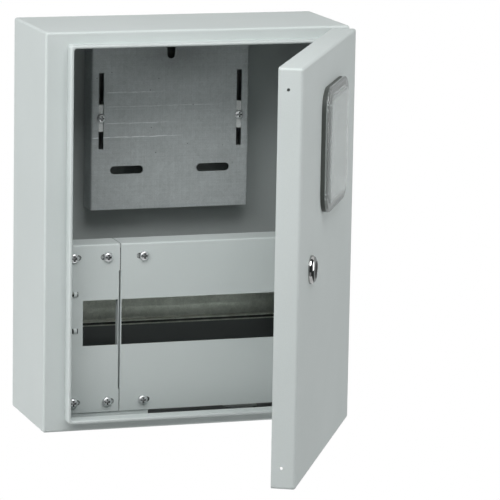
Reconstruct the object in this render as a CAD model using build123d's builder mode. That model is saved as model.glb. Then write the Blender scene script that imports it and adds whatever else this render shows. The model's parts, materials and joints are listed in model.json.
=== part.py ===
"""Wall-mounted sheet-steel meter and distribution enclosure, drawn with its door standing open.

Millimetres. X runs along the front, Z is up and the front faces -Y. The origin is the middle of the
outside of the back wall, where the enclosure meets the wall it hangs on.
"""
import os
from math import cos, radians, sin

from build123d import *

# Box: a folded and welded sheet with a front frame and a hemmed lip round its opening
box_width = 310.0
box_height = 395.0
box_depth = 122.0
sheet = 1.2
box_bend = 2.5
frame_side = 21.9
frame_top = 11.8
frame_bottom = 10.2
lip_reach = 13.0
hem = 3.2
hem_return = 3.0
hem_flat = 0.3
lip_corner = 3.0
lip_outer_corner = 3.4
mount_from_side = 25.0
mount_from_end = 62.5
mount_hole = 7.0

# Cable entries in the bottom wall and their grommets
entry_pitch = 134.0
entry_hole = 28.0
grommet_flange = 3.5
grommet_thickness = 2.0
grommet_clearance = 0.1
grommet_bore = 12.0
grommet_membrane = 1.0

# Door: a folded tray that covers the frame and swings on two lift-off hinges
door_side_margin = 2.0
door_end_margin = 1.5
door_depth = 23.0
door_gap = 1.0
door_bend = 2.5
door_angle = 61.4
hinge_edge_depth = 16.0
hinge_edge_trim = 6.0
edge_hole = 3.0
edge_hole_inset = 20.0
edge_hole_depth = 13.5
door_seal_margin = 4.0
door_seal_clearance = 0.3

# Hinges: a leaf with an arm on the frame, a pin in the arm and an eye on the door
hinge_inset = 10.5
hinge_reach = 14.0
hinge_from_end = 58.5
hinge_eye = 10.0
hinge_arm = 3.0
hinge_leaf_width = 15.0
hinge_leaf_height = 30.0
hinge_leaf_thickness = 1.5
hinge_arm_foot = 8.5
hinge_foot_offset = 8.0
eye_leaf_height = 18.0
pin_diameter = 5.0
pin_head = 8.0
pin_head_height = 2.0
pin_top = 7.0
pin_tip = 0.8
pin_seat_clearance = 0.02
pin_running_clearance = 0.05
hinge_notch_margin = 1.5

# Window: a clear cap with a raised pane, sealed to the door and held by a frame inside
window_size = 119.6
window_corner = 22.0
window_from_hinge_edge = 139.0
window_from_top = 93.4
window_seal_thickness = 4.0
window_seal_inset = 0.5
window_flange = 2.6
window_flange_round = 1.6
window_step = 5.0
window_slope = 7.2
window_rise = 1.9
window_wall = 2.5
spigot_inset = 8.0
spigot_wall = 2.0
spigot_reach = 4.0
spigot_clearance = 0.3
retainer_width = 6.0
retainer_thickness = 3.0

# Lock: a round housing with a key plug and a cam that turns behind the lip
lock_from_free_edge = 61.0
lock_face = 27.0
lock_face_height = 6.0
lock_face_round = 1.4
lock_barrel = 19.0
lock_hole_clearance = 0.2
plug_head = 16.0
plug_head_length = 9.0
plug_diameter = 13.0
plug_clearance = 0.06
plug_recess = 0.6
plug_tail = 8.0
plug_tail_short = 0.1
key_slot_width = 2.2
key_slot_height = 9.5
key_slot_depth = 7.0
nut_across_flats = 25.0
nut_thickness = 4.0
nut_clearance = 0.1
cam_reach = 46.0
cam_hub = 9.0
cam_end = 6.0
cam_thickness = 2.0
cam_clearance = 1.0
cam_screw_head = 13.0
cam_screw_head_height = 1.8
cam_screw_shank = 4.0
cam_screw_length = 7.0

# Meter plate: a channel of bare galvanised sheet on two brackets
plate_width = 164.8
plate_height = 183.5
plate_depth = 25.5
plate_sheet = 1.2
plate_bend = 2.0
plate_top_gap = 7.8
plate_rear_gap = 0.3
plate_slot_inset = 10.4
plate_slot_width = 5.2
plate_slot_length = 76.7
plate_slot_height = 99.8
level_slot_pitch = 90.2
level_slot_length = 34.3
level_slot_width = 8.2
level_slot_height = 39.8
top_slot_length = 22.4
top_slot_from_top = 10.0
meter_screw_height = 92.7
meter_bracket_height = 27.2
meter_bracket_tab = 16.0
meter_bracket_foot = 16.0
meter_bracket_inset = 2.3

# Rail for modular devices, with its brackets
rail_height = 35.0
rail_trough = 25.0
rail_depth = 7.5
rail_sheet = 1.0
rail_bend = 1.4
rail_end_gap = 23.8
rail_above_bottom = 103.4
rail_behind_cover = 66.0
rail_slot_length = 15.0
rail_slot_width = 6.2
rail_screw_inset = 11.0
rail_bracket_height = 28.0
rail_bracket_tab = 20.0
rail_bracket_foot = 18.0

# Covers: two folded panels side by side, with breaker slots
cover_sheet = 1.0
cover_bend = 1.8
cover_setback = 20.0
cover_height = 168.7
cover_margin = 1.9
cover_seam_gap = 1.0
cover_top_flange = 30.0
narrow_cover_width = 55.4
seam_flange = 9.0
seam_flange_bottom = 22.5
seam_flange_top = 27.2
seam_relief = 0.4
seam_bend = 1.2
slot_height = 45.7
slot_margin = 18.0
cover_screw_top = 13.0
cover_screw_bottom = 10.3
cover_screw_edge = 8.5
narrow_screw_pitch = 34.7
wide_screw_from_seam = 23.7
screw_slot_length = 11.5
screw_slot_width = 5.6
screw_slot_shift = 1.75
lug_inset = 10.2
lug_width = 3.2
lug_slit = 1.5
lug_height = 5.2
lug_rise = 1.9
lug_bend = 1.3
lug_run = 1.5
lug_pitch = 36.6
lug_above_slot = 6.4

# Angle brackets that carry the covers
cover_bracket_sheet = 1.5
cover_bracket_bend = 2.2
cover_bracket_depth = 20.0
cover_bracket_above_screw = 8.5
cover_bracket_below_screw = 10.0
cover_bracket_side_gap = 1.5
left_bracket_overhang = 6.0
right_bracket_overhang = 15.5

# Pan-head screws of the covers, the meter plate and the rail
cover_screw_head = 9.4
cover_screw_head_height = 3.2
cover_screw_shank = 5.0
cover_screw_length = 10.0
meter_screw_head = 8.6
meter_screw_head_height = 3.0
meter_screw_shank = 4.0
meter_screw_length = 9.0
rail_screw_head = 9.4
rail_screw_head_height = 3.2
rail_screw_shank = 5.0
rail_screw_length = 8.0
screw_thread_clearance = 0.1
head_rim = 1.0
recess_length = 0.6
recess_width = 0.17
recess_depth = 0.6
bracket_sheet = 1.5
bracket_bend = 2.0

# Planes of the box: sketches on them have X to the right and Z up, and grow forwards
back_outside = Plane.XZ
back_inside = Plane.XZ.offset(sheet)
frame_front = Plane.XZ.offset(box_depth)
front_y = -box_depth
inner_back_y = -sheet
inner_side_x = box_width / 2 - sheet
inner_floor_z = -box_height / 2 + sheet
floor_outside = Plane(origin=(0, -box_depth / 2, -box_height / 2))

# Opening: the lip's outline, and the clear opening inside it
lip_width = box_width - 2 * frame_side
lip_height = box_height - frame_top - frame_bottom
opening_mid = (frame_bottom - frame_top) / 2
opening_width = lip_width - 2 * hem
opening_height = lip_height - 2 * hem
opening_floor = opening_mid - opening_height / 2
hem_round = (hem - hem_flat) / 2
mount_pitch_x = box_width - 2 * mount_from_side
mount_pitch_z = box_height - 2 * mount_from_end

# Door: its size follows the box
door_width = box_width - 2 * door_side_margin
door_height = box_height - 2 * door_end_margin

# Hinge axis, and the planes that turn with the door; on them x is measured as on the shut door
hinge_x = box_width / 2 - hinge_inset
hinge_y = front_y - hinge_reach
door_face_y = front_y - door_gap - door_depth
swing = radians(door_angle)
door_turn = Plane(origin=(hinge_x, hinge_y, 0), x_dir=(cos(swing), sin(swing), 0), z_dir=(0, 0, 1))


def on_door(x, y, z):
    """Point of the standing-open door that lies at x, y, z when the door is shut."""
    return door_turn.from_local_coords(Vector(x - hinge_x, y - hinge_y, z))


def door_level(z):
    """Level plane about the hinge axis that turns with the door."""
    return Plane(origin=on_door(hinge_x, hinge_y, z), x_dir=door_turn.x_dir, z_dir=(0, 0, 1))


door_face = Plane(origin=on_door(0, door_face_y, 0), x_dir=door_turn.x_dir, z_dir=-door_turn.y_dir)
door_outward = Axis(door_face.origin, door_face.z_dir)

# Places on the door
door_edge_x = door_width / 2
window_x = door_edge_x - window_from_hinge_edge
window_z = door_height / 2 - window_from_top
lock_x = -door_edge_x + lock_from_free_edge
lock_z = 0.0
spigot_size = window_size - 2 * spigot_inset
spigot_corner = window_corner - spigot_inset
spigot_bore = spigot_size - 2 * spigot_wall
window_rim = window_seal_thickness + window_flange
window_pane = window_rim + window_rise
cam_front_depth = door_depth + door_gap + hem_return + cam_clearance
hinge_level = door_height / 2 - hinge_from_end
hinge_levels = {"lower": -hinge_level, "upper": hinge_level}
cutout_size = spigot_size + 2 * spigot_clearance
step_size = window_size - 2 * window_step
step_corner = window_corner - window_step
pane_size = step_size - 2 * window_slope
pane_corner = step_corner - window_slope
window_face = Plane(on_door(window_x, door_face_y, window_z), x_dir=door_face.x_dir, z_dir=door_face.z_dir)
lock_face_plane = Plane(on_door(lock_x, door_face_y, lock_z), x_dir=door_face.x_dir, z_dir=door_face.z_dir)
cam_front = lock_face_plane.offset(-cam_front_depth)
hinge_edge = Plane(on_door(door_edge_x, door_face_y, 0), x_dir=door_turn.y_dir, z_dir=door_turn.x_dir)
free_edge = Plane(on_door(-door_edge_x, door_face_y, 0), x_dir=-door_turn.y_dir, z_dir=-door_turn.x_dir)

# Places inside the box
plate_front_y = inner_back_y - plate_rear_gap - plate_depth
plate_top = box_height / 2 - sheet - plate_top_gap
plate_bottom = plate_top - plate_height
plate_face = Plane.XZ.offset(-plate_front_y)
plate_slot_pitch = plate_width - 2 * plate_slot_inset
meter_screw_x = plate_slot_pitch / 2
meter_screw_z = plate_bottom + meter_screw_height

cover_y = front_y + cover_setback
cover_face = Plane.XZ.offset(-cover_y)
cover_edge_x = opening_width / 2 - cover_margin
cover_bottom = opening_floor
cover_top = cover_bottom + cover_height
narrow_right = -cover_edge_x + narrow_cover_width
wide_left = narrow_right + cover_seam_gap
rail_z = -box_height / 2 + rail_above_bottom
rail_y = cover_y + rail_behind_cover
rail_length = 2 * (inner_side_x - rail_end_gap)
rail_screw_x = rail_length / 2 - rail_screw_inset

screw_rows = {"top": cover_top - cover_screw_top, "bottom": cover_bottom + cover_screw_bottom}
outer_screw_x = cover_edge_x - cover_screw_edge
narrow_screws_x = [-outer_screw_x, -outer_screw_x + narrow_screw_pitch]
wide_screws_x = [wide_left + wide_screw_from_seam, outer_screw_x]
cover_screws_x = narrow_screws_x + wide_screws_x
left_bracket_inner = wide_screws_x[0] + left_bracket_overhang
right_bracket_inner = outer_screw_x - right_bracket_overhang
cover_rear_y = cover_y + cover_sheet
cover_rear = Plane.XZ.offset(-cover_rear_y)


def keep(piece, name):
    """Label a finished piece and write it to its own file."""
    piece.label = name
    export_step(piece, f"parts/{name}.step")


def fold(points, thickness, bend, side):
    """Face of a folded strip: bent sheet of one thickness along a path through the points."""
    with BuildSketch(mode=Mode.PRIVATE) as strip:
        with BuildLine():
            FilletPolyline(*points, radius=bend)
            offset(amount=thickness, side=side)
        make_face()
    return strip.sketch


def pan_screws(seat, places, head, head_height, shank, length):
    """Pan-head screws with a cross recess, their heads seated on one plane."""
    across = Axis(seat.origin, seat.z_dir)
    with BuildPart() as screws:
        with BuildSketch(seat):
            with Locations(*places):
                Circle(head / 2)
        extrude(amount=head_height)
        fillet(screws.edges().group_by(across)[-1], radius=head_height - head_rim)
        with BuildSketch(seat.offset(head_height)):
            with Locations(*places):
                Rectangle(head * recess_length, head * recess_width)
                Rectangle(head * recess_width, head * recess_length)
        extrude(amount=-head_height * recess_depth, mode=Mode.SUBTRACT)
        with BuildSketch(seat):
            with Locations(*places):
                Circle(shank / 2)
        extrude(amount=-length)
    return screws.part


def rounded_block(base, width, height, depth, radius):
    """Solid block standing on a plane, with every edge rounded."""
    with BuildPart() as block:
        with BuildSketch(base):
            Rectangle(width, height)
        extrude(amount=depth)
        fillet(block.edges(), radius=radius)
    return block.part


def z_bracket(tab_edge_x, tab, front, foot, height, middle, screw_x, thread):
    """Left-hand bracket folded twice: a tab with a threaded hole, a web and a foot on the back wall."""
    foot_y = inner_back_y - bracket_sheet
    path = [
        (tab_edge_x, front),
        (tab_edge_x + tab, front),
        (tab_edge_x + tab, foot_y),
        (tab_edge_x + tab + foot, foot_y),
    ]
    with BuildPart() as bracket:
        with BuildSketch(Plane.XY.offset(middle - height / 2)):
            add(fold(path, bracket_sheet, bracket_bend, Side.LEFT))
        extrude(amount=height)
        with BuildSketch(Plane.XZ.offset(-front)):
            with Locations((screw_x, middle)):
                Circle(thread / 2 + screw_thread_clearance)
        extrude(amount=-bracket_sheet, mode=Mode.SUBTRACT)
    return bracket.part


def floor_bracket(left, right, screws_x):
    """Angle on the floor of the box, with threaded holes for the covers' lower screws."""
    top = screw_rows["bottom"] + cover_bracket_above_screw
    path = [
        (cover_rear_y, top),
        (cover_rear_y, inner_floor_z),
        (cover_rear_y + cover_bracket_depth, inner_floor_z),
    ]
    with BuildPart() as bracket:
        with BuildSketch(Plane.YZ.offset(left)):
            add(fold(path, cover_bracket_sheet, cover_bracket_bend, Side.LEFT))
        extrude(amount=right - left)
        with BuildSketch(cover_rear):
            with Locations(*[(x, screw_rows["bottom"]) for x in screws_x]):
                Circle(cover_screw_shank / 2 + screw_thread_clearance)
        extrude(amount=-cover_bracket_sheet, mode=Mode.SUBTRACT)
    return bracket.part


def wall_bracket(inner, screws_x):
    """Angle on the left wall of the box, with threaded holes for the covers' upper screws."""
    path = [
        (inner, cover_rear_y),
        (-inner_side_x, cover_rear_y),
        (-inner_side_x, cover_rear_y + cover_bracket_depth),
    ]
    with BuildPart() as bracket:
        with BuildSketch(Plane.XY.offset(screw_rows["top"] - cover_bracket_below_screw)):
            add(fold(path, cover_bracket_sheet, cover_bracket_bend, Side.RIGHT))
        extrude(amount=cover_bracket_below_screw + cover_bracket_above_screw)
        with BuildSketch(cover_rear):
            with Locations(*[(x, screw_rows["top"]) for x in screws_x]):
                Circle(cover_screw_shank / 2 + screw_thread_clearance)
        extrude(amount=-cover_bracket_sheet, mode=Mode.SUBTRACT)
    return bracket.part


def hinge_leaf(level):
    """Leaf on the frame with an arm that carries the pin."""
    leaf_left = hinge_x - hinge_foot_offset
    with BuildPart() as leaf:
        with BuildSketch(frame_front):
            with Locations((leaf_left + hinge_leaf_width / 2, level)):
                Rectangle(hinge_leaf_width, hinge_leaf_height)
        extrude(amount=hinge_leaf_thickness)
        with BuildSketch(Plane.XY.offset(level)):
            with Locations((hinge_x, hinge_y)):
                Circle(hinge_eye / 2)
            with Locations((leaf_left + hinge_arm_foot / 2, front_y - hinge_leaf_thickness / 2)):
                Rectangle(hinge_arm_foot, hinge_leaf_thickness)
            make_hull()
            with Locations((hinge_x, hinge_y)):
                Circle(pin_diameter / 2 + pin_seat_clearance, mode=Mode.SUBTRACT)
        extrude(amount=-hinge_arm)
    return leaf.part


def hinge_pin(level):
    """Headed pin that stands in the arm of a leaf."""
    foot = Plane(origin=(hinge_x, hinge_y, level - hinge_arm))
    with BuildPart() as pin:
        with BuildSketch(foot):
            Circle(pin_head / 2)
        extrude(amount=-pin_head_height)
        with BuildSketch(foot):
            Circle(pin_diameter / 2)
        extrude(amount=hinge_arm + pin_top)
        chamfer(pin.edges().sort_by(Axis.Z)[-1], length=pin_tip)
    return pin.part


def door_hinge_eye(level):
    """Leaf inside the door with an eye that drops over the pin."""
    leaf_middle = door_face_y + sheet + hinge_leaf_thickness / 2 - hinge_y
    with BuildPart() as eye:
        with BuildSketch(door_face.offset(-sheet)):
            with Locations((hinge_x, level + eye_leaf_height / 2)):
                Rectangle(hinge_eye, eye_leaf_height)
        extrude(amount=-hinge_leaf_thickness)
        with BuildSketch(door_level(level)):
            Circle(hinge_eye / 2)
            with Locations((0, leaf_middle)):
                Rectangle(hinge_eye, hinge_leaf_thickness)
            make_hull()
            Circle(pin_diameter / 2 + pin_running_clearance, mode=Mode.SUBTRACT)
        extrude(amount=hinge_arm)
    return eye.part


os.makedirs("parts", exist_ok=True)

# Box with its frame, lip, wall-mounting holes and cable entries
box_outside = rounded_block(back_outside, box_width, box_height, box_depth, box_bend)
box_inside = rounded_block(
    back_inside, box_width - 2 * sheet, box_height - 2 * sheet, box_depth - 2 * sheet, box_bend - sheet
)
with BuildPart() as enclosure_body:
    add(box_outside)
    add(box_inside, mode=Mode.SUBTRACT)
    with BuildSketch(frame_front):
        with Locations((0, opening_mid)):
            RectangleRounded(opening_width, opening_height, lip_corner)
    extrude(amount=-sheet, mode=Mode.SUBTRACT)
    with BuildSketch(frame_front.offset(lip_reach)):
        with Locations((0, opening_mid)):
            RectangleRounded(lip_width, lip_height, lip_outer_corner)
            RectangleRounded(opening_width, opening_height, lip_corner, mode=Mode.SUBTRACT)
    extrude(amount=-lip_reach)
    fillet(enclosure_body.faces().sort_by(Axis.Y)[0].edges(), radius=hem_round)
    with BuildSketch(frame_front.offset(-sheet)):
        with Locations((0, opening_mid)):
            RectangleRounded(opening_width + 2 * sheet, opening_height + 2 * sheet, lip_corner + sheet)
            RectangleRounded(opening_width, opening_height, lip_corner, mode=Mode.SUBTRACT)
    extrude(amount=sheet - hem_return)
    with BuildSketch(back_outside):
        with GridLocations(mount_pitch_x, mount_pitch_z, 2, 2):
            Circle(mount_hole / 2)
    extrude(amount=sheet, mode=Mode.SUBTRACT)
    with BuildSketch(floor_outside):
        with GridLocations(entry_pitch, 0, 2, 1):
            Circle(entry_hole / 2)
    extrude(amount=sheet, mode=Mode.SUBTRACT)
keep(enclosure_body.part, "enclosure_body")

# Grommets: a neck between two flanges, closed by a thin membrane
grommet_neck = entry_hole / 2 - grommet_clearance
with BuildPart() as cable_grommets:
    with BuildSketch(floor_outside.offset(-grommet_thickness)):
        with GridLocations(entry_pitch, 0, 2, 1):
            Circle(grommet_neck + grommet_flange)
    extrude(amount=grommet_thickness)
    with BuildSketch(floor_outside):
        with GridLocations(entry_pitch, 0, 2, 1):
            Circle(grommet_neck)
    extrude(amount=sheet)
    with BuildSketch(floor_outside.offset(sheet)):
        with GridLocations(entry_pitch, 0, 2, 1):
            Circle(grommet_neck + grommet_flange)
    extrude(amount=grommet_thickness)
    with BuildSketch(floor_outside.offset(-grommet_thickness)):
        with GridLocations(entry_pitch, 0, 2, 1):
            Circle(grommet_bore)
    extrude(amount=2 * grommet_thickness + sheet - grommet_membrane, mode=Mode.SUBTRACT)
keep(cable_grommets.part, "cable_grommets")

# Door tray, with a shallower flange on the hinge side, notches for the hinge arms and small edge holes
with BuildPart() as door:
    with BuildSketch(door_face):
        Rectangle(door_width, door_height)
    extrude(amount=-door_depth)
    front_edges = door.faces().sort_by(door_outward)[-1].edges()
    corner_edges = door.edges().filter_by(door_outward)
    fillet(front_edges + corner_edges, radius=door_bend)
    offset(amount=-sheet, openings=door.faces().sort_by(door_outward)[0])
    with BuildSketch(door_face.offset(-door_depth)):
        with Locations((door_edge_x - hinge_edge_trim / 2, 0)):
            Rectangle(hinge_edge_trim, door_height)
    extrude(amount=door_depth - hinge_edge_depth, mode=Mode.SUBTRACT)
    with BuildSketch(hinge_edge):
        with Locations(*[((door_bend + hinge_edge_depth) / 2, z - hinge_arm / 2) for z in hinge_levels.values()]):
            Rectangle(hinge_edge_depth - door_bend, hinge_arm + 2 * hinge_notch_margin)
    extrude(amount=-door_bend, mode=Mode.SUBTRACT)
    with BuildSketch(free_edge):
        with Locations((-edge_hole_depth, 0)):
            with GridLocations(0, door_height - 2 * edge_hole_inset, 1, 2):
                Circle(edge_hole / 2)
    extrude(amount=-sheet, mode=Mode.SUBTRACT)
    with BuildSketch(window_face):
        RectangleRounded(cutout_size, cutout_size, spigot_corner + spigot_clearance)
    extrude(amount=-sheet, mode=Mode.SUBTRACT)
    with BuildSketch(lock_face_plane):
        Circle(lock_barrel / 2 + lock_hole_clearance)
    extrude(amount=-sheet, mode=Mode.SUBTRACT)
keep(door.part, "door")

# Foam seal inside the door, where the lip meets it
seal_height = door_depth + door_gap - lip_reach - sheet - door_seal_clearance
with BuildPart() as door_seal:
    with BuildSketch(door_face.offset(-sheet)):
        with Locations((0, opening_mid)):
            RectangleRounded(
                lip_width + 2 * door_seal_margin,
                lip_height + 2 * door_seal_margin,
                lip_outer_corner + door_seal_margin,
            )
            RectangleRounded(
                opening_width - 2 * door_seal_margin,
                opening_height - 2 * door_seal_margin,
                lip_corner,
                mode=Mode.SUBTRACT,
            )
    extrude(amount=-seal_height)
keep(door_seal.part, "door_seal")

# Hinges
for side, level in hinge_levels.items():
    keep(hinge_leaf(level), f"hinge_leaf_{side}")
    keep(hinge_pin(level), f"hinge_pin_{side}")
    keep(door_hinge_eye(level), f"door_hinge_eye_{side}")

# Window cap: a flange with a rounded edge, a slope and a raised pane, with a hollow spigot through the door
with BuildPart() as window:
    with BuildSketch(window_face.offset(window_seal_thickness)):
        RectangleRounded(window_size, window_size, window_corner)
    extrude(amount=window_flange)
    fillet(window.faces().sort_by(door_outward)[-1].edges(), radius=window_flange_round)
    with BuildSketch(window_face.offset(window_rim)):
        RectangleRounded(step_size, step_size, step_corner)
    with BuildSketch(window_face.offset(window_pane)):
        RectangleRounded(pane_size, pane_size, pane_corner)
    loft()
    with BuildSketch(window_face.offset(window_seal_thickness)):
        RectangleRounded(spigot_size, spigot_size, spigot_corner)
    extrude(amount=-window_seal_thickness - sheet - spigot_reach)
    with BuildSketch(window_face.offset(window_pane - window_wall)):
        RectangleRounded(spigot_bore, spigot_bore, spigot_corner - spigot_wall)
    extrude(amount=window_wall - window_pane - sheet - spigot_reach, mode=Mode.SUBTRACT)
keep(window.part, "window")

with BuildPart() as window_seal:
    with BuildSketch(window_face):
        RectangleRounded(
            window_size - 2 * window_seal_inset, window_size - 2 * window_seal_inset, window_corner - window_seal_inset
        )
        RectangleRounded(cutout_size, cutout_size, spigot_corner + spigot_clearance, mode=Mode.SUBTRACT)
    extrude(amount=window_seal_thickness)
keep(window_seal.part, "window_seal")

with BuildPart() as window_retainer:
    with BuildSketch(window_face.offset(-sheet)):
        RectangleRounded(
            cutout_size + 2 * retainer_width, cutout_size + 2 * retainer_width, spigot_corner + retainer_width
        )
        RectangleRounded(cutout_size, cutout_size, spigot_corner + spigot_clearance, mode=Mode.SUBTRACT)
    extrude(amount=-retainer_thickness)
keep(window_retainer.part, "window_retainer")

# Lock housing with a stepped bore
with BuildPart() as lock_body:
    with BuildSketch(lock_face_plane):
        Circle(lock_face / 2)
    extrude(amount=lock_face_height)
    fillet(lock_body.edges().sort_by(door_outward)[-1], radius=lock_face_round)
    with BuildSketch(lock_face_plane):
        Circle(lock_barrel / 2)
    extrude(amount=-cam_front_depth)
    with BuildSketch(lock_face_plane.offset(lock_face_height)):
        Circle(plug_head / 2 + plug_clearance)
    extrude(amount=-plug_head_length, mode=Mode.SUBTRACT)
    with BuildSketch(lock_face_plane.offset(lock_face_height)):
        Circle(plug_diameter / 2 + plug_clearance)
    extrude(amount=-lock_face_height - cam_front_depth, mode=Mode.SUBTRACT)
keep(lock_body.part, "lock_body")

# Key plug, with a square tail for the cam and a threaded hole for its screw
with BuildPart() as lock_plug:
    with BuildSketch(lock_face_plane.offset(lock_face_height - plug_recess)):
        Circle(plug_head / 2)
    extrude(amount=plug_recess - plug_head_length)
    with BuildSketch(lock_face_plane.offset(lock_face_height - plug_head_length)):
        Circle(plug_diameter / 2)
    extrude(amount=plug_head_length - lock_face_height - cam_front_depth)
    with BuildSketch(cam_front):
        Rectangle(plug_tail, plug_tail)
    extrude(amount=plug_tail_short - cam_thickness)
    with BuildSketch(cam_front.offset(-cam_thickness)):
        Circle(cam_screw_shank / 2 + screw_thread_clearance)
    extrude(amount=cam_screw_length + screw_thread_clearance, mode=Mode.SUBTRACT)
    with BuildSketch(lock_face_plane.offset(lock_face_height - plug_recess)):
        Rectangle(key_slot_width, key_slot_height)
    extrude(amount=-key_slot_depth, mode=Mode.SUBTRACT)
keep(lock_plug.part, "lock_plug")

with BuildPart() as lock_nut:
    with BuildSketch(lock_face_plane.offset(-sheet)):
        RegularPolygon(nut_across_flats / 2, 6, major_radius=False)
        Circle(lock_barrel / 2 + nut_clearance, mode=Mode.SUBTRACT)
    extrude(amount=-nut_thickness)
keep(lock_nut.part, "lock_nut")

with BuildPart() as lock_cam:
    with BuildSketch(cam_front):
        Circle(cam_hub)
        with Locations((0, cam_end - cam_reach)):
            Circle(cam_end)
        make_hull()
        Rectangle(plug_tail + 2 * nut_clearance, plug_tail + 2 * nut_clearance, mode=Mode.SUBTRACT)
    extrude(amount=-cam_thickness)
keep(lock_cam.part, "lock_cam")

cam_back = Plane(origin=cam_front.offset(-cam_thickness).origin, x_dir=-door_turn.x_dir, z_dir=door_turn.y_dir)
cam_screw = pan_screws(
    cam_back, [(0, 0)], cam_screw_head, cam_screw_head_height, cam_screw_shank, cam_screw_length
)
keep(cam_screw, "lock_cam_screw")

# Meter plate: a channel with slots for its screws and for the meter
plate_path = [
    (-plate_width / 2, plate_front_y + plate_depth),
    (-plate_width / 2, plate_front_y),
    (plate_width / 2, plate_front_y),
    (plate_width / 2, plate_front_y + plate_depth),
]
with BuildPart() as meter_plate:
    with BuildSketch(Plane.XY.offset(plate_bottom)):
        add(fold(plate_path, plate_sheet, plate_bend, Side.LEFT))
    extrude(amount=plate_height)
    with BuildSketch(plate_face):
        with Locations((0, plate_bottom + plate_slot_height)):
            with GridLocations(plate_slot_pitch, 0, 2, 1):
                Rectangle(plate_slot_width, plate_slot_length)
        with Locations((0, plate_bottom + level_slot_height)):
            with GridLocations(level_slot_pitch, 0, 2, 1):
                SlotOverall(level_slot_length, level_slot_width)
        with Locations((0, plate_top - top_slot_from_top - top_slot_length / 2)):
            SlotOverall(top_slot_length, level_slot_width, rotation=90)
    extrude(amount=-plate_sheet, mode=Mode.SUBTRACT)
keep(meter_plate.part, "meter_plate")

meter_bracket = z_bracket(
    -plate_width / 2 + meter_bracket_inset,
    meter_bracket_tab,
    plate_front_y + plate_sheet,
    meter_bracket_foot,
    meter_bracket_height,
    meter_screw_z,
    -meter_screw_x,
    meter_screw_shank,
)
keep(meter_bracket, "meter_bracket_left")
keep(mirror(meter_bracket, about=Plane.YZ), "meter_bracket_right")
meter_plate_screws = pan_screws(
    plate_face,
    [(-meter_screw_x, meter_screw_z), (meter_screw_x, meter_screw_z)],
    meter_screw_head,
    meter_screw_head_height,
    meter_screw_shank,
    meter_screw_length,
)
keep(meter_plate_screws, "meter_plate_screws")

# Rail for modular devices
rail_web_y = rail_y + rail_depth - rail_sheet
rail_web = Plane.XZ.offset(-rail_web_y)
rail_path = [
    (rail_y, rail_z + rail_height / 2),
    (rail_y, rail_z + rail_trough / 2),
    (rail_web_y, rail_z + rail_trough / 2),
    (rail_web_y, rail_z - rail_trough / 2),
    (rail_y, rail_z - rail_trough / 2),
    (rail_y, rail_z - rail_height / 2),
]
with BuildPart() as din_rail:
    with BuildSketch(Plane.YZ.offset(-rail_length / 2)):
        add(fold(rail_path, rail_sheet, rail_bend, Side.LEFT))
    extrude(amount=rail_length)
    with BuildSketch(rail_web):
        with Locations((0, rail_z)):
            with GridLocations(2 * rail_screw_x, 0, 2, 1):
                SlotOverall(rail_slot_length, rail_slot_width)
    extrude(amount=-rail_sheet, mode=Mode.SUBTRACT)
keep(din_rail.part, "din_rail")

rail_bracket = z_bracket(
    -rail_screw_x - rail_bracket_tab / 2,
    rail_bracket_tab,
    rail_web_y + rail_sheet,
    rail_bracket_foot,
    rail_bracket_height,
    rail_z,
    -rail_screw_x,
    rail_screw_shank,
)
keep(rail_bracket, "din_rail_bracket_left")
keep(mirror(rail_bracket, about=Plane.YZ), "din_rail_bracket_right")
din_rail_screws = pan_screws(
    rail_web,
    [(-rail_screw_x, rail_z), (rail_screw_x, rail_z)],
    rail_screw_head,
    rail_screw_head_height,
    rail_screw_shank,
    rail_screw_length,
)
keep(din_rail_screws, "din_rail_screws")

# Covers: a face with a deep top flange, a flange along the seam, a breaker slot and slotted screw holes
cover_path = [
    (cover_y, cover_bottom),
    (cover_y, cover_top),
    (cover_y + cover_top_flange, cover_top),
]
seam_bottom = cover_bottom + seam_flange_bottom
seam_flange_height = cover_height - seam_flange_bottom - seam_flange_top
seam_middle = seam_bottom + seam_flange_height / 2
narrow_seam_x = narrow_right - seam_relief
narrow_seam_path = [
    (narrow_seam_x - 2 * seam_bend, cover_y),
    (narrow_seam_x, cover_y),
    (narrow_seam_x, cover_y + seam_flange),
]
wide_seam_path = [
    (wide_left, cover_y + seam_flange),
    (wide_left, cover_y),
    (wide_left + 2 * seam_bend, cover_y),
]
narrow_slot_left = -cover_edge_x + slot_margin
narrow_slot_right = narrow_seam_x - cover_sheet
wide_slot_left = wide_left + cover_sheet
wide_slot_right = cover_edge_x - slot_margin
lug_x = -cover_edge_x + lug_inset
lug_top = rail_z + slot_height / 2 + lug_above_slot
lug_levels = (lug_top, lug_top - lug_pitch)

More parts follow.
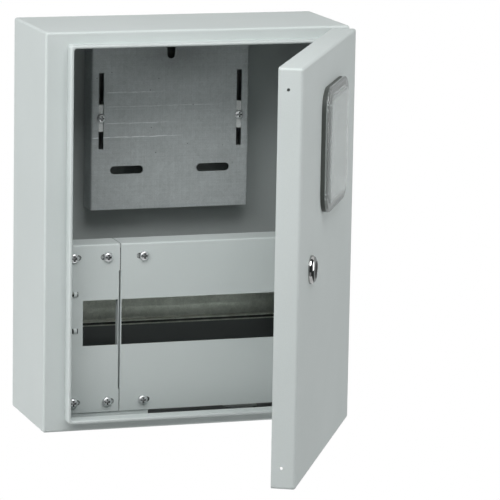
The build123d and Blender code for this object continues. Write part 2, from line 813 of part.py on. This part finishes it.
with BuildPart() as narrow_cover:
    with BuildSketch(Plane.YZ.offset(-cover_edge_x)):
        add(fold(cover_path, cover_sheet, cover_bend, Side.RIGHT))
    extrude(amount=narrow_cover_width)
    with BuildSketch(cover_face):
        with Locations((narrow_right - (seam_relief + seam_bend) / 2, seam_middle)):
            Rectangle(seam_relief + seam_bend, seam_flange_height)
    extrude(amount=-cover_sheet, mode=Mode.SUBTRACT)
    with BuildSketch(Plane.XY.offset(seam_bottom)):
        add(fold(narrow_seam_path, cover_sheet, seam_bend, Side.LEFT))
    extrude(amount=seam_flange_height)
    with BuildSketch(cover_face):
        with Locations(((narrow_slot_left + narrow_slot_right) / 2, rail_z)):
            Rectangle(narrow_slot_right - narrow_slot_left, slot_height)
        with Locations(*[(lug_x, level) for level in lug_levels]):
            Rectangle(lug_width + 2 * lug_slit, lug_height)
        with Locations(
            (narrow_screws_x[0] + screw_slot_shift, screw_rows["top"]),
            (narrow_screws_x[1] - screw_slot_shift, screw_rows["top"]),
            (narrow_screws_x[0] + screw_slot_shift, screw_rows["bottom"]),
            (narrow_screws_x[1] + screw_slot_shift, screw_rows["bottom"]),
        ):
            SlotOverall(screw_slot_length, screw_slot_width)
    extrude(amount=-cover_sheet, mode=Mode.SUBTRACT)
    for level in lug_levels:
        foot, top = level - lug_height / 2, level + lug_height / 2
        lug_path = [
            (cover_y, foot - lug_run),
            (cover_y, foot),
            (cover_y - lug_rise, foot + lug_run),
            (cover_y - lug_rise, top - lug_run),
            (cover_y, top),
            (cover_y, top + lug_run),
        ]
        with BuildSketch(Plane.YZ.offset(lug_x - lug_width / 2)):
            add(fold(lug_path, cover_sheet, lug_bend, Side.RIGHT))
        extrude(amount=lug_width)
keep(narrow_cover.part, "narrow_cover")

with BuildPart() as wide_cover:
    with BuildSketch(Plane.YZ.offset(wide_left)):
        add(fold(cover_path, cover_sheet, cover_bend, Side.RIGHT))
    extrude(amount=cover_edge_x - wide_left)
    with BuildSketch(cover_face):
        with Locations((wide_left + seam_bend / 2, seam_middle)):
            Rectangle(seam_bend, seam_flange_height)
    extrude(amount=-cover_sheet, mode=Mode.SUBTRACT)
    with BuildSketch(Plane.XY.offset(seam_bottom)):
        add(fold(wide_seam_path, cover_sheet, seam_bend, Side.LEFT))
    extrude(amount=seam_flange_height)
    with BuildSketch(cover_face):
        with Locations(((wide_slot_left + wide_slot_right) / 2, rail_z)):
            Rectangle(wide_slot_right - wide_slot_left, slot_height)
        with Locations(*[(x - screw_slot_shift, screw_rows["top"]) for x in wide_screws_x]):
            SlotOverall(screw_slot_length, screw_slot_width)
        with Locations(*[(x + screw_slot_shift, screw_rows["bottom"]) for x in wide_screws_x]):
            SlotOverall(screw_slot_length, screw_slot_width)
    extrude(amount=-cover_sheet, mode=Mode.SUBTRACT)
keep(wide_cover.part, "wide_cover")

cover_screws = pan_screws(
    cover_face,
    [(x, z) for x in cover_screws_x for z in screw_rows.values()],
    cover_screw_head,
    cover_screw_head_height,
    cover_screw_shank,
    cover_screw_length,
)
keep(cover_screws, "cover_screws")

# Angle brackets behind the covers
floor_end_x = inner_side_x - cover_bracket_side_gap
left_screws_x = cover_screws_x[:3]
keep(floor_bracket(-floor_end_x, left_bracket_inner, left_screws_x), "cover_bracket_bottom_left")
keep(floor_bracket(right_bracket_inner, floor_end_x, [outer_screw_x]), "cover_bracket_bottom_right")
keep(wall_bracket(left_bracket_inner, left_screws_x), "cover_bracket_top_left")
right_wall_bracket = mirror(wall_bracket(-right_bracket_inner, [-outer_screw_x]), about=Plane.YZ)
keep(right_wall_bracket, "cover_bracket_top_right")
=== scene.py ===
"""Looks of the open meter enclosure: finishes on its pieces, studio light and the photograph's camera."""
import json
from math import cos, pi, radians, sin

import bmesh
import bpy
from mathutils import Euler, Matrix, Vector


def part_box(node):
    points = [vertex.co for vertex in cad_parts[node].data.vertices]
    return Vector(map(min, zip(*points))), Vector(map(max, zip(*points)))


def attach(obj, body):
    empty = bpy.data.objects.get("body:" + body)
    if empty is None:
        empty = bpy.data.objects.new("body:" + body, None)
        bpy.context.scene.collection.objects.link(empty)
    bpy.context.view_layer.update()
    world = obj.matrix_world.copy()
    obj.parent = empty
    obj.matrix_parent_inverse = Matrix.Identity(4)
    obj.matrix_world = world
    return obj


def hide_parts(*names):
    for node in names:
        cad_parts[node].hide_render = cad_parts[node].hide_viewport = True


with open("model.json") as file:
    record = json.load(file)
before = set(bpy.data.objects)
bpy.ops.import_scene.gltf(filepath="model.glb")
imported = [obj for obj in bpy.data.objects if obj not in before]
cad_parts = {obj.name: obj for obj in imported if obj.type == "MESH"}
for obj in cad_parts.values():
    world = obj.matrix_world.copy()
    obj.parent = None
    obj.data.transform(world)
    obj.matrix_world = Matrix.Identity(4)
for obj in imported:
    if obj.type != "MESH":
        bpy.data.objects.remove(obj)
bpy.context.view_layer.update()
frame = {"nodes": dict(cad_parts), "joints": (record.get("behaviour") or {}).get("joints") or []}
scene = bpy.context.scene
WHITE = (1.0, 1.0, 1.0)


def placed(name, data):
    """New object in the scene."""
    made = bpy.data.objects.new(name, data)
    scene.collection.objects.link(made)
    return made


# Node helpers
def grey(value):
    """Colour with one value in all its channels."""
    return (value,) * 3


def new_material(name):
    """Material with its tree and its Principled shader."""
    material = bpy.data.materials.new(name)
    material.use_nodes = True
    tree = material.node_tree
    return material, tree, tree.nodes["Principled BSDF"]


def layer_below(material):
    """Tree, shader and present colour of a material that gets one more layer."""
    tree = material.node_tree
    shader = tree.nodes["Principled BSDF"]
    return tree, shader, shader.inputs["Base Color"].links[0].from_socket


def node(tree, kind, **settings):
    """Node of one kind; a key is an attribute, or with a leading underscore an input's name."""
    made = tree.nodes.new(kind)
    for key, value in settings.items():
        if key.startswith("_"):
            made.inputs[key[1:].replace("_", " ")].default_value = value
        else:
            setattr(made, key, value)
    return made


def feed(tree, socket, value):
    """Link a socket to another one, or set it to a number or a colour."""
    if isinstance(value, bpy.types.NodeSocket):
        tree.links.new(value, socket)
    else:
        socket.default_value = value if isinstance(value, float) else (*value, 1.0)


def object_space(tree, stretch=(1, 1, 1)):
    """Position on the piece in metres, stretched along the axes."""
    place = node(tree, "ShaderNodeTexCoord")
    mapping = node(tree, "ShaderNodeMapping", _Scale=stretch)
    tree.links.new(place.outputs["Object"], mapping.inputs["Vector"])
    return mapping.outputs["Vector"]


def coordinates(tree):
    """X, Y and Z of the position on the piece in metres, as three values."""
    place = node(tree, "ShaderNodeTexCoord")
    parts = node(tree, "ShaderNodeSeparateXYZ")
    tree.links.new(place.outputs["Object"], parts.inputs["Vector"])
    return parts.outputs


def noise(tree, vector, scale, detail=3.0, roughness=0.5):
    """Noise value over a position, with the scale in cycles per metre."""
    made = node(tree, "ShaderNodeTexNoise", _Scale=scale, _Detail=detail, _Roughness=roughness)
    tree.links.new(vector, made.inputs["Vector"])
    return made.outputs["Fac"]


def cells(tree, scale):
    """Cells all over the piece, with the scale in cells per metre."""
    made = node(tree, "ShaderNodeTexVoronoi", _Scale=scale)
    tree.links.new(object_space(tree), made.inputs["Vector"])
    return made.outputs


def ramp(tree, value, stops):
    """Colours along a value."""
    made = node(tree, "ShaderNodeValToRGB")
    elements = made.color_ramp.elements
    while len(elements) < len(stops):
        elements.new(0.5)
    for element, (place, colour) in zip(elements, stops):
        element.position = place
        element.color = (*colour, 1.0)
    tree.links.new(value, made.inputs["Fac"])
    return made.outputs["Color"]


def shades(tree, value, dark, light, start=0.3, end=0.7):
    """Colour that goes from dark to light as a value goes from its start to its end."""
    return ramp(tree, value, [(start, dark), (end, light)])


def spread(tree, value, low, high, start=0.3, end=0.7):
    """Number that goes from low to high as a value goes from its start to its end."""
    made = node(tree, "ShaderNodeMapRange", _From_Min=start, _From_Max=end, _To_Min=low, _To_Max=high)
    tree.links.new(value, made.inputs["Value"])
    return made.outputs["Result"]


def mix(tree, factor, first, second, blend="MIX"):
    """Two colours mixed by a value or a number."""
    made = node(tree, "ShaderNodeMix", data_type="RGBA", blend_type=blend)
    first_colour, second_colour, mixed_colour = made.inputs[6], made.inputs[7], made.outputs[2]
    feed(tree, made.inputs["Factor"], factor)
    feed(tree, first_colour, first)
    feed(tree, second_colour, second)
    return mixed_colour


def times(tree, colour, tone):
    """Colour multiplied by another one."""
    return mix(tree, 1.0, colour, tone, "MULTIPLY")


def maths(tree, operation, *values):
    """One arithmetic step on values or numbers."""
    made = node(tree, "ShaderNodeMath", operation=operation)
    for socket, value in zip(made.inputs, values):
        feed(tree, socket, value)
    return made.outputs["Value"]


def bump(tree, shader, height, strength, distance, after=None):
    """Surface relief from a height, on top of another relief if there is one."""
    made = node(tree, "ShaderNodeBump", _Strength=strength, _Distance=distance)
    tree.links.new(height, made.inputs["Height"])
    if after is not None:
        tree.links.new(after, made.inputs["Normal"])
    tree.links.new(made.outputs["Normal"], shader.inputs["Normal"])
    return made.outputs["Normal"]


def within(tree, box):
    """1 inside a box given by its two corners in metres, and 0 outside it."""
    position = coordinates(tree)
    total = 1.0
    for axis, low, high in zip("XYZ", *box):
        above = maths(tree, "GREATER_THAN", position[axis], low)
        below = maths(tree, "LESS_THAN", position[axis], high)
        total = maths(tree, "MULTIPLY", total, maths(tree, "MULTIPLY", above, below))
    return total


def mix_shaders(tree, factor, first, second):
    """Two shaders mixed by a value."""
    made = node(tree, "ShaderNodeMixShader")
    for socket, value in zip(made.inputs, (factor, first, second)):
        tree.links.new(value, socket)
    return made.outputs["Shader"]


# Paint
def powder_coat(name, painted_shade_boxes=()):
    """Light grey coat with a cool tint, fine grain and a faint orange peel, with painted shade darkening it
    in some boxes.
    """
    material, tree, shader = new_material(name)
    space = object_space(tree)
    broad = noise(tree, space, scale=9.0, detail=2.0)
    grain = noise(tree, space, scale=1500.0, detail=2.0)
    peel = noise(tree, space, scale=620.0, detail=2.0)
    colour = shades(tree, broad, (0.553, 0.600, 0.592), (0.574, 0.620, 0.613), start=0.35, end=0.65)
    colour = times(tree, colour, shades(tree, grain, grey(0.955), WHITE, end=0.6))
    # painted shade: the colour is darkened by a tone inside each box
    for box, tone in painted_shade_boxes:
        colour = mix(tree, within(tree, box), colour, times(tree, colour, grey(tone)))
    tree.links.new(colour, shader.inputs["Base Color"])
    tree.links.new(spread(tree, grain, low=0.46, high=0.56), shader.inputs["Roughness"])
    shader.inputs["Specular IOR Level"].default_value = 0.42
    first = bump(tree, shader, peel, strength=0.10, distance=0.0004)
    bump(tree, shader, grain, strength=0.06, distance=0.0002, after=first)
    return material


def painted_recess_shade(material, reach, tone):
    """Painted shade that darkens cavities and tight corners, within a reach in metres."""
    tree, shader, colour = layer_below(material)
    cavity = node(tree, "ShaderNodeAmbientOcclusion", samples=12, _Distance=reach)
    depth = spread(tree, cavity.outputs["AO"], low=1.0, high=0.0, start=0.35, end=0.80)
    dark = times(tree, colour, grey(tone))
    tree.links.new(mix(tree, depth, colour, dark), shader.inputs["Base Color"])


# Galvanised sheet
def zinc_sheet(name, dark, light, rough, metallic=0.0, lines=0.0, flakes=0.90):
    """Mottled zinc with flakes and grain, and with rolling lines both ways that take some of its tone."""
    material, tree, shader = new_material(name)
    space = object_space(tree)
    cloud = noise(tree, space, scale=45.0, detail=4.0, roughness=0.6)
    grain = noise(tree, space, scale=900.0, roughness=0.65)
    chip = cells(tree, scale=260.0)["Color"]
    colour = shades(tree, cloud, dark, light)
    colour = times(tree, colour, shades(tree, chip, grey(flakes), WHITE, start=0.0, end=1.0))
    for stretch in ((6.0, 6.0, 900.0), (800.0, 6.0, 10.0)):
        streak = noise(tree, object_space(tree, stretch), scale=1.0, detail=2.0)
        colour = times(tree, colour, shades(tree, streak, grey(1.0 - lines), WHITE))
    colour = times(tree, colour, shades(tree, grain, grey(0.86), WHITE, end=0.62))
    tree.links.new(colour, shader.inputs["Base Color"])
    rough_spot = spread(tree, cloud, low=rough - 0.06, high=rough + 0.06)
    tree.links.new(rough_spot, shader.inputs["Roughness"])
    shader.inputs["Metallic"].default_value = metallic
    bump(tree, shader, grain, strength=0.08, distance=0.0002)
    return material


def scratch_lines(material, lines):
    """Bright level scratches, each with its height, two ends, strength and half width, in metres."""
    tree, shader, colour = layer_below(material)
    bare_metal = (0.88, 0.90, 0.90)
    near_fade, far_fade, core_share = 0.004, 0.03, 0.35
    position = coordinates(tree)
    wander = noise(tree, object_space(tree, (60.0, 60.0, 0.0)), scale=1.0)
    breaks = noise(tree, object_space(tree, (150.0, 150.0, 700.0)), scale=1.0, detail=2.0)
    height = maths(tree, "ADD", position["Z"], spread(tree, wander, low=-0.0005, high=0.0005))
    total = 0.0
    for line_height, start, end, strength, half_width in lines:
        off = maths(tree, "ABSOLUTE", maths(tree, "SUBTRACT", height, line_height))
        line = spread(tree, off, strength, 0.0, half_width * core_share, half_width)
        near = spread(tree, position["X"], 0.0, 1.0, start, start + near_fade)
        far = spread(tree, position["X"], 1.0, 0.0, end - far_fade, end)
        line = maths(tree, "MULTIPLY", line, maths(tree, "MULTIPLY", near, far))
        total = maths(tree, "MAXIMUM", total, line)
    worn = spread(tree, breaks, low=0.35, high=1.0, start=0.35, end=0.55)
    total = maths(tree, "MULTIPLY", total, worn)
    tree.links.new(mix(tree, total, colour, bare_metal), shader.inputs["Base Color"])


def dark_specks(material, per_metre, radius, share):
    """Small dark specks in a share of the cells of a sheet, with their radius in cells."""
    tree, shader, colour = layer_below(material)
    spots = cells(tree, per_metre)
    dot = maths(tree, "LESS_THAN", spots["Distance"], radius)
    chosen = maths(tree, "GREATER_THAN", spots["Color"], 1.0 - share)
    speck = maths(tree, "MULTIPLY", dot, chosen)
    tree.links.new(mix(tree, speck, colour, (0.20, 0.21, 0.21)), shader.inputs["Base Color"])


def painted_shade_patch(material, centre, reach, tone):
    """Soft patch of painted shade round a point, darkest there and gone at its reach along each axis, in
    metres.
    """
    tree, shader, colour = layer_below(material)
    place = node(tree, "ShaderNodeTexCoord")
    mapping = node(tree, "ShaderNodeMapping", vector_type="TEXTURE", _Location=centre, _Scale=reach)
    tree.links.new(place.outputs["Object"], mapping.inputs["Vector"])
    length = node(tree, "ShaderNodeVectorMath", operation="LENGTH")
    tree.links.new(mapping.outputs["Vector"], length.inputs["Vector"])
    patch = spread(tree, length.outputs["Value"], low=1.0, high=0.0, start=0.0, end=1.0)
    shaded_colour = times(tree, colour, grey(tone))
    tree.links.new(mix(tree, patch, colour, shaded_colour), shader.inputs["Base Color"])


def painted_light_bands(material, middle, reach, stops):
    """Painted highlights, shadow and shade on a level strip by the height over its middle line, and less
    metallic where it is bright.
    """
    tree, shader, colour = layer_below(material)
    share = spread(tree, coordinates(tree)["Z"], 0.0, 1.0, middle - reach, middle + reach)
    tone = ramp(tree, share, [(0.5 + height / (2 * reach), grey(value)) for height, value in stops])
    tree.links.new(times(tree, colour, tone), shader.inputs["Base Color"])
    metallic = spread(tree, tone, low=0.85, high=0.30, start=0.90, end=0.98)
    tree.links.new(metallic, shader.inputs["Metallic"])


# Bright metal for screws, lock and hinge pieces
def bright_metal(name, dark, light, rough, scale=700.0):
    """Plated or polished metal with a fine grain."""
    material, tree, shader = new_material(name)
    grain = noise(tree, object_space(tree), scale)
    tree.links.new(shades(tree, grain, dark, light), shader.inputs["Base Color"])
    rough_spot = spread(tree, grain, low=rough * 0.8, high=rough * 1.25)
    tree.links.new(rough_spot, shader.inputs["Roughness"])
    shader.inputs["Metallic"].default_value = 1.0
    bump(tree, shader, grain, strength=0.05, distance=0.0001)
    return material


# Rubber, foam and plastic
def moulded(name, dark, light, rough, scale, relief):
    """Matt moulded stuff with a grain of some scale and relief."""
    material, tree, shader = new_material(name)
    grain = noise(tree, object_space(tree), scale, detail=4.0, roughness=0.6)
    tree.links.new(shades(tree, grain, dark, light), shader.inputs["Base Color"])
    rough_spot = spread(tree, grain, low=rough - 0.08, high=rough + 0.08)
    tree.links.new(rough_spot, shader.inputs["Roughness"])
    shader.inputs["Specular IOR Level"].default_value = 0.3
    bump(tree, shader, grain, strength=relief, distance=0.0004)
    return material


def clear_plastic(name):
    """Clear plastic with a faint grey tint and a slightly uneven surface."""
    material, tree, shader = new_material(name)
    ripple = noise(tree, object_space(tree), scale=60.0, detail=2.0)
    shader.inputs["Base Color"].default_value = (0.80, 0.84, 0.83, 1.0)
    shader.inputs["Transmission Weight"].default_value = 0.84
    shader.inputs["IOR"].default_value = 1.49
    tree.links.new(spread(tree, ripple, low=0.03, high=0.07), shader.inputs["Roughness"])
    bump(tree, shader, ripple, strength=0.03, distance=0.0006)
    return material


# Inside of the box, with its limits within the sheet and behind the frame, and the part behind the covers,
# both darkened by painted shade
depth_in_sheet, frame_back = 0.0007, -0.118
cover_sheet, shade_below_cover_top = 0.001, 0.0246
body_low, body_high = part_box("enclosure_body")
cover_low, cover_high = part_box("wide_cover")
inside_low = Vector((body_low.x + depth_in_sheet, frame_back, body_low.z + depth_in_sheet))
inside_high = body_high - Vector((depth_in_sheet, depth_in_sheet, depth_in_sheet))
covered_low = Vector((inside_low.x, cover_low.y + cover_sheet, inside_low.z))
covered_high = Vector((inside_high.x, inside_high.y, cover_high.z - shade_below_cover_top))

# Materials
paint = powder_coat("light_grey_powder_coat")
# painted shade: the inside of the box is darkened, and the part behind the covers more so
inside_shade_tone, covered_shade_tone = 0.68, 0.42
body_paint = powder_coat("box_powder_coat", [
    ((inside_low, inside_high), inside_shade_tone),
    ((covered_low, covered_high), covered_shade_tone),
])
bracket_paint = powder_coat("bracket_powder_coat")
# painted shade in the crevices of the brackets, seen through the slots beside the cover screws
painted_recess_shade(bracket_paint, reach=0.005, tone=0.06)

plate_zinc = zinc_sheet(
    "galvanised_plate", (0.53, 0.56, 0.565), (0.595, 0.63, 0.635), rough=0.46, metallic=0.45, lines=0.07,
)
scratch_lines(plate_zinc, [
    (0.0781, -0.0826, 0.016, 1.00, 0.00060),
    (0.0921, -0.0690, 0.010, 0.65, 0.00055),
    (0.1089, -0.0680, 0.060, 0.42, 0.00055),
    (0.1232, -0.0680, 0.000, 0.70, 0.00055),
    (0.1062, -0.0600, -0.020, 0.20, 0.00040),
])
dark_specks(plate_zinc, per_metre=75.0, radius=0.045, share=0.38)
# painted shade over the top of the plate, where the box's top frame shades it
painted_shade_patch(plate_zinc, centre=(0.006, -0.031, 0.163), reach=(0.075, 0.05, 0.036), tone=0.55)

rail_zinc = zinc_sheet("galvanised_rail", (0.65, 0.68, 0.59), (0.93, 0.96, 0.86), rough=0.36, flakes=0.80)
rail_low, rail_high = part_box("din_rail")
rail_middle, rail_reach = (rail_low.z + rail_high.z) / 2, 0.020
# Distances from the rail's middle line, heights over it on the web, and the tones there, which are painted
# highlights on the edges and bends, painted shadow in the gaps and painted shade over the lower web
edge_line, gap_foot, gap_top, bend_foot, bend_top = 0.0163, 0.0160, 0.0139, 0.0136, 0.0127
web_foot, web_shade_end, web_light_start = -0.0122, -0.0030, 0.0010
bright, black, dim, fair = 1.0, 0.08, 0.46, 0.86
painted_light_bands(rail_zinc, rail_middle, rail_reach, [
    (-edge_line, bright), (-gap_foot, black), (-gap_top, black), (-bend_foot, bright), (-bend_top, bright),
    (web_foot, dim), (web_shade_end, fair), (web_light_start, bright),
    (bend_foot, bright), (gap_top, black), (gap_foot, black), (edge_line, bright),
])

bracket_zinc = zinc_sheet(
    "galvanised_brackets", (0.74, 0.76, 0.75), (0.94, 0.96, 0.95), rough=0.5, metallic=0.4,
)
screw_metal = bright_metal("bright_zinc", (0.76, 0.77, 0.78), (0.86, 0.87, 0.88), rough=0.30)
# painted shade in the screws' cross recesses and round their heads
painted_recess_shade(screw_metal, reach=0.0025, tone=0.10)
hinge_zinc = bright_metal("plated_steel", (0.48, 0.49, 0.50), (0.60, 0.61, 0.62), rough=0.36)
chrome = bright_metal("polished_chrome", (0.34, 0.345, 0.34), (0.40, 0.405, 0.40), rough=0.06, scale=300.0)
plug_metal = moulded("dark_plug", grey(0.012), grey(0.022), rough=0.45, scale=500.0, relief=0.05)
rubber = moulded(
    "dark_rubber", (0.062, 0.070, 0.064), (0.084, 0.092, 0.086), rough=0.55, scale=500.0, relief=0.10,
)
grommet_rubber = moulded(
    "grey_rubber", (0.42, 0.45, 0.44), (0.50, 0.53, 0.52), rough=0.6, scale=420.0, relief=0.10,
)
foam = moulded(
    "dark_foam", (0.030, 0.032, 0.033), (0.055, 0.058, 0.060), rough=0.85, scale=1400.0, relief=0.45,
)
retainer_plastic = moulded(
    "dark_plastic", (0.05, 0.052, 0.054), (0.07, 0.072, 0.075), rough=0.5, scale=600.0, relief=0.08,
)
clear = clear_plastic("clear_window")

finishes = {
    body_paint: ["enclosure_body"],
    paint: ["door", "narrow_cover", "wide_cover", "hinge_leaf_lower", "hinge_leaf_upper"],
    bracket_paint: [
        "cover_bracket_bottom_left", "cover_bracket_bottom_right",
        "cover_bracket_top_left", "cover_bracket_top_right",
    ],
    plate_zinc: ["meter_plate"],
    rail_zinc: ["din_rail"],
    bracket_zinc: [
        "meter_bracket_left", "meter_bracket_right", "din_rail_bracket_left", "din_rail_bracket_right",
    ],
    screw_metal: ["meter_plate_screws", "din_rail_screws", "cover_screws"],
    hinge_zinc: [
        "door_hinge_eye_lower", "door_hinge_eye_upper", "hinge_pin_lower", "hinge_pin_upper",
        "lock_nut", "lock_cam", "lock_cam_screw",
    ],
    plug_metal: ["lock_plug"],
    rubber: ["window_seal"],
    grommet_rubber: ["cable_grommets"],
    foam: ["door_seal"],
    retainer_plastic: ["window_retainer"],
    clear: ["window"],
}
for material, names in finishes.items():
    for name in names:
        slots = frame["nodes"][name].data.materials
        slots.clear()
        slots.append(material)


# Lock housing: the CAD barrel and bore, with the photograph's domed collar in the space of the plain one
def turned(name, profile, centre, axis, segments=96, sharp_from=35.0):
    """Closed profile of radius and height pairs, in millimetres, turned about an axis.

    Edges are sharp from an angle in degrees.
    """
    sideways = axis.orthogonal().normalized()
    upward = axis.cross(sideways)
    points, faces = [], []
    for step in range(segments):
        angle = 2 * pi * step / segments
        ray = cos(angle) * sideways + sin(angle) * upward
        points += [centre + (radius * ray + height * axis) / 1000 for radius, height in profile]
    count = len(profile)
    for step in range(segments):
        near, far = step * count, (step + 1) % segments * count
        faces += [(near + i, near + (i + 1) % count, far + (i + 1) % count, far + i) for i in range(count)]
    mesh = bpy.data.meshes.new(name)
    mesh.from_pydata(points, [], faces)
    shape = bmesh.new()
    shape.from_mesh(mesh)
    bmesh.ops.recalc_face_normals(shape, faces=shape.faces)
    shape.to_mesh(mesh)
    shape.free()
    mesh.shade_smooth()
    mesh.set_sharp_from_angle(angle=radians(sharp_from))
    return placed(name, mesh)


lock_joint = next(joint for joint in frame["joints"] if joint["name"] == "lock_turn")
lock_centre = Vector(lock_joint["pos_m"])
lock_out = -Vector(lock_joint["axis"]).normalized()
# Sizes of the housing in millimetres
collar_radius, collar_edge, collar_height = 13.5, 0.8, 5.4
barrel_radius, barrel_end = 9.5, -28.0
seat_radius, seat_floor, bore_radius = 8.06, -3.0, 6.56
lip_width, lip_bevel = 0.3, 0.2
dome_start = seat_radius + lip_width
dome_reach, dome_rise, dome_steps = collar_radius - dome_start, collar_height - collar_edge, 20
dome_angles = [pi / 2 * step / dome_steps for step in range(dome_steps + 1)]
dome = [(dome_start + dome_reach * cos(angle), collar_edge + dome_rise * sin(angle)) for angle in dome_angles]
lock_profile = [
    (barrel_radius, 0.0), (collar_radius, 0.0), *dome,
    (seat_radius, collar_height - lip_bevel), (seat_radius, seat_floor),
    (bore_radius, seat_floor), (bore_radius, barrel_end), (barrel_radius, barrel_end),
]
lock_housing = turned("domed_lock_body", lock_profile, lock_centre, lock_out)
lock_housing.data.materials.append(chrome)
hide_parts("lock_body")
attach(lock_housing, "door")

# Camera fitted to the box's and the door's edges in the photograph
camera_place = (-1.05628, -3.49861, 0.63989)
camera_angles = [radians(angle) for angle in (79.427204, -0.996366, -18.032944)]
camera = placed("photo_camera", bpy.data.cameras.new("photo_camera"))
camera.matrix_world = Matrix.Translation(camera_place) @ Euler(camera_angles).to_matrix().to_4x4()
camera.data.sensor_width = 36.0
camera.data.lens = 263.43
camera.data.clip_end = 100.0
scene.camera = camera

# Soft lights all round, each with its place, size and power
stage_middle = Vector((0.0, -0.15, 0.0))
soft_lights = {
    "top_front_light": ((0.06, -1.353, 1.72), (1.3, 1.3), 29.8),
    "left_front_light": ((-1.443, -1.087, 1.205), (1.8, 1.3), 28.0),
    "left_light": ((-2.037, 0.209, 0.365), (1.2, 1.2), 18.8),
    "right_light": ((1.998, -0.685, 0.365), (1.2, 1.2), 18.0),
    "low_front_light": ((0.0, -1.96, -0.85), (1.2, 1.0), 1.5),
    "back_light": ((0.45, 2.0, -0.6), (1.2, 0.8), 9.0),
}
for name, (place, size, power) in soft_lights.items():
    lamp = bpy.data.lights.new(name, "AREA")
    lamp.shape = "RECTANGLE"
    lamp.size, lamp.size_y = size
    lamp.energy = power
    holder = placed(name, lamp)
    holder.location = place
    holder.rotation_euler = (stage_middle - Vector(place)).to_track_quat("-Z", "Y").to_euler()


# Cards that only reflections see, and a pale floor
def flat(name, corners):
    """Mesh of one four-cornered face."""
    mesh = bpy.data.meshes.new(name)
    mesh.from_pydata(corners, [], [(0, 1, 2, 3)])
    return mesh


def upright(start, end, low, high):
    """Corners of an upright face over a line in plan."""
    return [(*start, low), (*end, low), (*end, high), (*start, high)]


def level(height, *plan):
    """Corners of a level face with an outline in plan."""
    return [(*point, height) for point in plan]


def card(name, corners, tone):
    """Studio card of one even tone."""
    mesh = flat(name, corners)
    holder = placed(name, mesh)
    material, tree, _ = new_material(name)
    glow = node(tree, "ShaderNodeEmission", _Color=(*tone, 1.0), _Strength=1.0)
    tree.links.new(glow.outputs["Emission"], tree.nodes["Material Output"].inputs["Surface"])
    mesh.materials.append(material)
    holder.visible_camera = holder.visible_diffuse = False
    holder.visible_shadow = holder.visible_transmission = False


dark_tone, grey_tone = (0.05, 0.055, 0.055), (0.43, 0.45, 0.45)
floor_level, card_lift, card_top, back_reach = -1.2, 0.01, 6.0, 3.0
card_foot = floor_level + card_lift
# Corners of the cards in plan
front_y, near_y, side_y, rear_y = -4.2, -1.6, 0.5, 6.0
front_x, side_x, rear_x, beside_x = 7.0, 8.0, 2.2, 1.3
front_left, front_right = (-front_x, front_y), (front_x, front_y)
side_left, side_right = (-side_x, side_y), (side_x, side_y)
rear_left, rear_right = (-rear_x, rear_y), (rear_x, rear_y)
low_front = level(card_foot, front_left, (side_x, front_y), (side_x, near_y), (-front_x, near_y))
low_right = level(card_foot, (beside_x, near_y), (side_x, near_y), side_right, (beside_x, side_y))
low_back = level(card_foot, (beside_x, side_y), side_right, rear_right, (beside_x, rear_y))
card("front_card", upright(front_left, front_right, card_foot, card_top), dark_tone)
card("right_front_card", upright(front_right, side_right, card_foot, card_top), dark_tone)
card("low_front_card", low_front, dark_tone)
card("low_right_card", low_right, dark_tone)
card("low_back_card", low_back, grey_tone)
card("top_front_card", level(card_top, front_left, front_right, side_right, side_left), dark_tone)
card("left_back_card", upright(side_left, rear_left, -back_reach, back_reach), grey_tone)
card("back_card", upright(rear_left, rear_right, -back_reach, back_reach), grey_tone)
card("right_back_card", upright(rear_right, side_right, -back_reach, back_reach), grey_tone)

floor_reach = 30.0
floor_plan = [(x * floor_reach, y * floor_reach) for x, y in ((-1, -1), (1, -1), (1, 1), (-1, 1))]
floor_mesh = flat("floor", level(floor_level, *floor_plan))
floor = placed("floor", floor_mesh)


def shown_or_lighting(tree, lighting, shown):
    """One shader for the rays that light the object, and one for camera, glossy and transmission rays."""
    path = node(tree, "ShaderNodeLightPath")
    seen = maths(tree, "MAXIMUM", path.outputs["Is Camera Ray"], path.outputs["Is Glossy Ray"])
    seen = maths(tree, "MAXIMUM", seen, path.outputs["Is Transmission Ray"])
    return mix_shaders(tree, seen, lighting, shown)


# The floor is white to the eye, takes light as a pale floor does, and is clear from below
floor_material, floor_tree, floor_shader = new_material("pale_floor")
floor_shader.inputs["Base Color"].default_value = (0.85, 0.85, 0.85, 1.0)
floor_shader.inputs["Roughness"].default_value = 0.9
white = node(floor_tree, "ShaderNodeEmission", _Color=(*WHITE, 1.0), _Strength=1.0)
above = shown_or_lighting(floor_tree, floor_shader.outputs["BSDF"], white.outputs["Emission"])
geometry = node(floor_tree, "ShaderNodeNewGeometry")
under = node(floor_tree, "ShaderNodeBsdfTransparent")
one_sided = mix_shaders(floor_tree, geometry.outputs["Backfacing"], above, under.outputs["BSDF"])
floor_tree.links.new(one_sided, floor_tree.nodes["Material Output"].inputs["Surface"])
floor_mesh.materials.append(floor_material)

# White background with a faint cool light of its own
world = bpy.data.worlds.new("studio")
scene.world = world
world.use_nodes = True
world_tree = world.node_tree
shown = world_tree.nodes["Background"]
shown.inputs["Color"].default_value = (*WHITE, 1.0)
shown.inputs["Strength"].default_value = 1.0
lighting = node(world_tree, "ShaderNodeBackground", _Color=(0.97, 1.0, 1.0, 1.0), _Strength=0.02)
background = shown_or_lighting(world_tree, lighting.outputs["Background"], shown.outputs["Background"])
world_tree.links.new(background, world_tree.nodes["World Output"].inputs["Surface"])

scene.view_settings.view_transform = "Standard"
